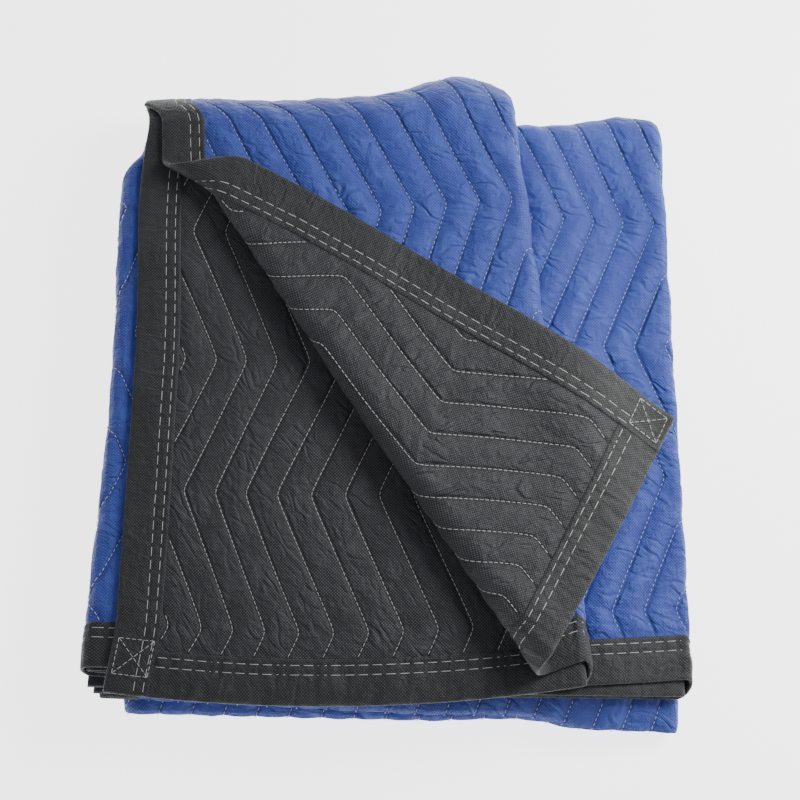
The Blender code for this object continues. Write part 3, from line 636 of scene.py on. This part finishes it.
def tape(edge, start, stop, material):
    """A tape along one edge, from start to stop on it: its profile at each station is the height on the blue
    side, a half round past the edge, and the height on the black side. A side tape's ends are closed."""
    side_tape = edge in ("left", "right")
    along = np.linspace(start, stop, round((stop - start) / TAPE_STEP) + 1)
    if side_tape:
        along = np.concatenate([start - TAPE_CLOSE, along, stop + TAPE_CLOSE[::-1]])
    r = np.concatenate([TAPE_ACROSS, -TAPE_EDGE * np.cos(TAPE_FOLD), TAPE_ACROSS[::-1]])
    r, along = np.meshgrid(r, along)
    ends = np.minimum(along - start, stop - along)
    lap = CORNER_LAP * ease((TAPE_WIDTH + 3 - ends) / 5) if side_tape else 0 * ends
    blue = tape_height(edge, r, along, lap, 0)
    black = tape_height(edge, r, along, lap, BLACK_SIDE)
    count = len(TAPE_ACROSS)
    rim = (TAPE_HIGH - 0.2 + lap[:, count:-count]) * np.sin(TAPE_FOLD)
    high = np.concatenate([blue[:, :count], rim, -black[:, -count:]], 1)
    if side_tape:
        high = high * np.sqrt(np.clip((ends + TAPE_CLOSE[0]) / TAPE_CLOSE[0], 0, 1))
    spots = {
        "left": (r, along),
        "right": (WIDTH - r, along),
        "foot": (along, r),
        "head": (along, LENGTH - r),
    }[edge]
    u, v = spots[0].ravel(), spots[1].ravel()
    points = place(u, v) + normal(u, v) * high.reshape(-1, 1)
    n = np.arange(r.size).reshape(r.shape)
    quads = np.stack([n[:-1, :-1], n[1:, :-1], n[1:, 1:], n[:-1, 1:]], -1).reshape(-1, 4)
    if edge in ("right", "foot"):
        quads = quads[:, ::-1]
    flat = np.stack([along.ravel(), r.ravel()], -1)
    piece = shown("tape_" + edge, points, quads[:, ::-1], flat, material)
    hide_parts("binding_" + edge)
    return piece


BINDING_TAPE = point_bonded_spunbond(
    "binding_tape", dark="#141515", light="#585a5a", fleck=0.7, mottled=0.12, dot_depth=0.2,
    creased=(1.4, 50.0, 14.0, 0.5), sheen=0.08, painted_furrow_shade=None,
)
binding_foot = tape("foot", SHORT_OF_SIDE, WIDTH - SHORT_OF_SIDE, BINDING_TAPE)
binding_head = tape("head", SHORT_OF_SIDE, WIDTH - SHORT_OF_SIDE, BINDING_TAPE)
binding_left = tape("left", 0.0, LENGTH, BINDING_TAPE)
binding_right = tape("right", 0.0, LENGTH, BINDING_TAPE)


# Sewing thread
# Off-white polyester thread, lock-stitched: long stitches along the bindings and round the crossed boxes
# that hold their corners, shorter ones along the zigzag lines. Each stitch lies on the cloth and dips into
# it at both ends. The real thread is about 0.4 mm thick, and here a little more, so that it shows.
THREAD = 0.24              # half its thickness
OVER_BLUE = 0.45           # a thread over the quilted faces, whose meshes don't reach the furrow's bottom
OVER_BLACK = 0.32
PAST_BOX = 29.5            # where the rows of the left tape begin, at the crossed box of its foot
PAST_RIGHT_BOX = 32.0
ROW_END = 1.5              # from the end of a row to the edge

# Along a stitch: how far along it, how high over the cloth, and what share of the thread's thickness
DIP = np.array([(0.0, -0.5, 0.5), (0.14, 0.16, 1.0), (0.86, 0.16, 1.0), (1.0, -0.5, 0.5)])

# Stitches: their length, and the gap to the next
BINDING_STITCH = (8.9, 2.1)
BOX_STITCH = (4.2, 0.9)
BLUE_STITCH = (2.9, 1.5)
BLACK_STITCH = (3.7, 0.8)

# Crossed boxes that hold the corners, on the flat cloth
BOX_COLUMNS = ("u_from", "u_to", "v_from", "v_to")
BOX_TABLE = np.array([
    (3.5, 28.5, 3.5, 28.5),
    (WIDTH - 29.0, WIDTH - 4.0, 6.0, 31.0),
    (3.0, 32.0, LENGTH - 43.0, LENGTH - 14.0),
    (WIDTH - 31.0, WIDTH - 4.0, LENGTH - 37.0, LENGTH - 10.0),
])


def stitch_row(start, stop, stitch):
    """Ends on the flat cloth of the stitches along a straight row."""
    start, stop = np.array(start, float), np.array(stop, float)
    length = np.linalg.norm(stop - start)
    count = max(round((length + stitch[1]) / sum(stitch)), 1)
    step = (length + stitch[1]) / count
    first = np.arange(count) * step / length
    last = first + (step - stitch[1]) / length
    way = stop - start
    return start + first[:, None] * way, start + last[:, None] * way


def zigzag_rows(shows, stitch):
    """Ends of the stitches along the zigzag lines, in the fields of the flat cloth that show."""
    rise = stitch[0] * ZIG_SLANT
    low = np.arange(TAPE_WIDTH + 0.6, LENGTH - TAPE_WIDTH - rise, sum(stitch) * ZIG_SLANT)
    lines = LINE_START - ZIG_HALF + LINE_GAP * np.arange(WIDTH // LINE_GAP + 2)
    low, line = [a.ravel() for a in np.meshgrid(low, lines)]
    first = np.stack([line + zigzag(low), low], -1)
    last = np.stack([line + zigzag(low + rise), low + rise], -1)
    keep = np.zeros(len(low), bool)
    for u_from, u_to, v_from, v_to in shows:
        keep |= (first[:, 0] > u_from) & (first[:, 0] < u_to) & (low > v_from) & (low < v_to)
    for ends in (first[:, 0], last[:, 0]):
        keep &= (ends > TAPE_WIDTH + 0.5) & (ends < WIDTH - TAPE_WIDTH - 0.5)
    return first[keep], last[keep]


def thread(name, ends, height, side, material):
    """Stitches as small four-sided bars. Each has a ring of four points at every row of DIP, across its own
    direction, set off from the cloth along the normal there."""
    first, last = ends
    t, lift, thick = DIP.T
    thick = THREAD * thick
    spots = first[:, None] + (last - first)[:, None] * t[:, None]
    u, v = spots[..., 0], spots[..., 1]
    up = normal(u, v) * side
    centre = place(u, v) + up * (height(u, v) + lift)[..., None]
    ahead = np.gradient(centre, axis=1)
    ahead /= np.linalg.norm(ahead, axis=-1, keepdims=True)
    aside = np.cross(ahead, up)
    ring = np.radians([45, 135, 225, 315])
    offset = up[:, :, None] * np.cos(ring)[:, None] + aside[:, :, None] * np.sin(ring)[:, None]
    points = centre[:, :, None] + offset * thick[:, None, None] * np.sqrt(2)
    n = np.arange(points[..., 0].size).reshape(points.shape[:3])
    turn = np.roll(n, -1, axis=2)
    walls = np.stack([n[:, :-1], turn[:, :-1], turn[:, 1:], n[:, 1:]], -1).reshape(-1, 4)
    quads = np.vstack([walls, n[:, 0, ::-1], n[:, -1]])
    flat = np.repeat(spots, 4, axis=1).reshape(-1, 2)
    piece = shown(name, points.reshape(-1, 3), quads, flat, material)
    return piece


def joined(rows):
    """The first ends of all rows in one array, and the last ends in another."""
    return np.vstack([a for a, b in rows]), np.vstack([b for a, b in rows])


def polyester_thread(name, dark, light):
    """Spun polyester sewing thread: fine plies twisted together, with painted highlight on top of each twist
    and painted shade between, and a soft gloss. On the blue side it takes a little of the sheet's colour."""
    material = bpy.data.materials.new(name)
    material.use_nodes = True
    tree = material.node_tree
    shader = tree.nodes["Principled BSDF"]
    flat = node(tree, "ShaderNodeUVMap", {}, uv_map="flat_cloth").outputs[0]
    # Fine noise mixes the dark tone, painted shade between the twists, with the light tone, painted highlight
    # on their tops
    painted_twist_shading = node(tree, "ShaderNodeTexNoise", {"Vector": flat, "Scale": 1400.0, "Detail": 1.0}).outputs[0]
    colour = node(
        tree, "ShaderNodeMix", {"Factor": painted_twist_shading, "A": linear(dark), "B": linear(light)}, data_type="RGBA"
    ).outputs["Result"]
    tree.links.new(colour, shader.inputs["Base Color"])
    shader.inputs["Roughness"].default_value = 0.6
    return material


# For each thread the dark tone is the painted shade between its twists and the light tone the painted
# highlight on them
OFF_WHITE = polyester_thread("off_white_polyester_thread", dark="#9a9a96", light="#deddd6")
BLUE_WHITE = polyester_thread("pale_blue_polyester_thread", dark="#93a2d8", light="#ccd5f5")


def edge_distance(u, v):
    """Distance to the nearest side edge and to the nearest foot or head edge."""
    return np.minimum(u, WIDTH - u), np.minimum(v, LENGTH - v)


def on_tape(side):
    """Height of the bindings' surface at u, v, the side tapes lying over the others' ends."""

    def height(u, v):
        """Height of the tape that lies on top at u, v."""
        aside, up = edge_distance(u, v)
        lap = CORNER_LAP * ease((TAPE_WIDTH + 3 - up) / 5)
        on_left = tape_height("left", aside, v, lap, side)
        on_right = tape_height("right", aside, v, lap, side)
        on_foot = tape_height("foot", up, u, 0, side)
        on_head = tape_height("head", up, u, 0, side)
        sides = np.where(u < WIDTH / 2, on_left, on_right)
        ends = np.where(v < LENGTH / 2, on_foot, on_head)
        return np.where(aside < TAPE_WIDTH, sides, np.where(up < TAPE_WIDTH, ends, STITCHED))

    return height


binding_rows = []
for r in (ROW_OUTER, ROW_INNER):
    binding_rows.append(stitch_row((r, PAST_BOX), (r, LENGTH - ROW_END), BINDING_STITCH))
    binding_rows.append(
        stitch_row((WIDTH - r, PAST_RIGHT_BOX), (WIDTH - r, LENGTH - ROW_END), BINDING_STITCH)
    )
    for v in (r, LENGTH - r):
        binding_rows.append(stitch_row((TAPE_WIDTH + 1, v), (WIDTH - TAPE_WIDTH - 1, v), BINDING_STITCH))
for row in BOX_TABLE:
    at = dict(zip(BOX_COLUMNS, row))
    box = [
        (at["u_from"], at["v_from"]), (at["u_to"], at["v_from"]),
        (at["u_to"], at["v_to"]), (at["u_from"], at["v_to"]),
    ]
    for i, k in ((0, 1), (1, 2), (2, 3), (3, 0), (0, 2), (1, 3)):
        binding_rows.append(stitch_row(box[i], box[k], BOX_STITCH))
binding_ends = joined(binding_rows)
binding_thread_blue = thread("binding_thread_blue_side", binding_ends, on_tape(0), 1, OFF_WHITE)
binding_thread_black = thread("binding_thread_black_side", binding_ends, on_tape(BLACK_SIDE), -1, OFF_WHITE)

# Fields of the flat cloth whose zigzag stitches show: u from, u to, v from, v to
BLUE_SHOWS = (
    (36, 400, 36, 1012),
    (1000, 1262, 36, 640),
    (655, 780, 1045, 1994),
    (650, 1740, 992, 1038),
)
BLACK_SHOWS = ((36, 345, 36, 540), (36, 400, 1490, 1994))


def on_blue(u, v):
    """Height of a thread over the blue face."""
    return loft(u, v, BLUE_SEED, BLUE_PUFF, BLUE_FREE) + OVER_BLUE


def on_black(u, v):
    """Height of a thread over the black back."""
    return loft(u, v, BLACK_SEED, BLACK_PUFF, BLACK_FREE) + OVER_BLACK


quilting_thread_blue = thread(
    "quilting_thread_blue_side", zigzag_rows(BLUE_SHOWS, BLUE_STITCH), on_blue, 1, BLUE_WHITE
)
quilting_thread_black = thread(
    "quilting_thread_black_side", zigzag_rows(BLACK_SHOWS, BLACK_STITCH), on_black, -1, OFF_WHITE
)


# Studio
# A matt white floor that glows a little, a soft light from the upper right, a weak one from the left and an
# even pale sky, with the camera steeply above the blanket's near edge.
FLOOR_SIZE = 60.0          # metres
FLOOR_GLOW = 3.2
SKY = "#f3f5ff"
SKY_STRENGTH = 0.4
CAMERA_RISE = np.radians(78)
CAMERA_FAR = 1.300         # metres
CAMERA_LENS = 69.23
SENSOR = 36.0
AIM = np.array([0.0, 0.0, 75.0])

# Soft lights: place and side in metres, and power in watts
KEY_LIGHT = ((0.8, 0.35, 0.75), 0.45, 15)
FILL_LIGHT = ((-0.9, -0.8, 1.6), 1.6, 3)


def seamless_paper():
    """Matt white seamless paper, evenly lit, so that it glows; only the faintest clouds show in it."""
    material = bpy.data.materials.new("seamless_paper")
    material.use_nodes = True
    tree = material.node_tree
    shader = tree.nodes["Principled BSDF"]
    at = node(tree, "ShaderNodeTexCoord", {}).outputs["Object"]
    soft = node(tree, "ShaderNodeTexNoise", {"Vector": at, "Scale": 3.0, "Detail": 2.0}).outputs[0]
    colour = node(
        tree, "ShaderNodeMix", {"Factor": soft, "A": linear("#f4f4f4"), "B": linear("#fafafa")},
        data_type="RGBA",
    ).outputs["Result"]
    tree.links.new(colour, shader.inputs["Base Color"])
    tree.links.new(colour, shader.inputs["Emission Color"])
    shader.inputs["Emission Strength"].default_value = FLOOR_GLOW
    shader.inputs["Roughness"].default_value = 0.9
    return material


floor_mesh = bpy.data.meshes.new("floor")
half = FLOOR_SIZE / 2
corners = [(-half, -half, 0), (half, -half, 0), (half, half, 0), (-half, half, 0)]
floor_mesh.from_pydata(corners, [], [(0, 1, 2, 3)])
floor_mesh.materials.append(seamless_paper())
floor = bpy.data.objects.new("floor", floor_mesh)
bpy.context.scene.collection.objects.link(floor)

world = bpy.data.worlds.new("studio")
world.use_nodes = True
world.node_tree.nodes["Background"].inputs["Color"].default_value = linear(SKY)
world.node_tree.nodes["Background"].inputs["Strength"].default_value = SKY_STRENGTH
bpy.context.scene.world = world

target = Vector(((AIM - FOOTPRINT_MIDDLE) / 1000).tolist())


def soft_light(name, place_m, size, power):
    """A square area light that faces the blanket."""
    light = bpy.data.lights.new(name, "AREA")
    light.size = size
    light.energy = power
    lamp = bpy.data.objects.new(name, light)
    lamp.location = place_m
    lamp.rotation_euler = (target - lamp.location).to_track_quat("-Z", "Y").to_euler()
    bpy.context.scene.collection.objects.link(lamp)


soft_light("key", *KEY_LIGHT)
soft_light("fill", *FILL_LIGHT)

camera_data = bpy.data.cameras.new("camera")
camera_data.lens = CAMERA_LENS
camera_data.sensor_width = SENSOR
camera = bpy.data.objects.new("camera", camera_data)
camera.location = target + CAMERA_FAR * Vector((0, -np.cos(CAMERA_RISE), np.sin(CAMERA_RISE)))
camera.rotation_euler = (target - camera.location).to_track_quat("-Z", "Y").to_euler()
bpy.context.scene.collection.objects.link(camera)
bpy.context.scene.camera = camera
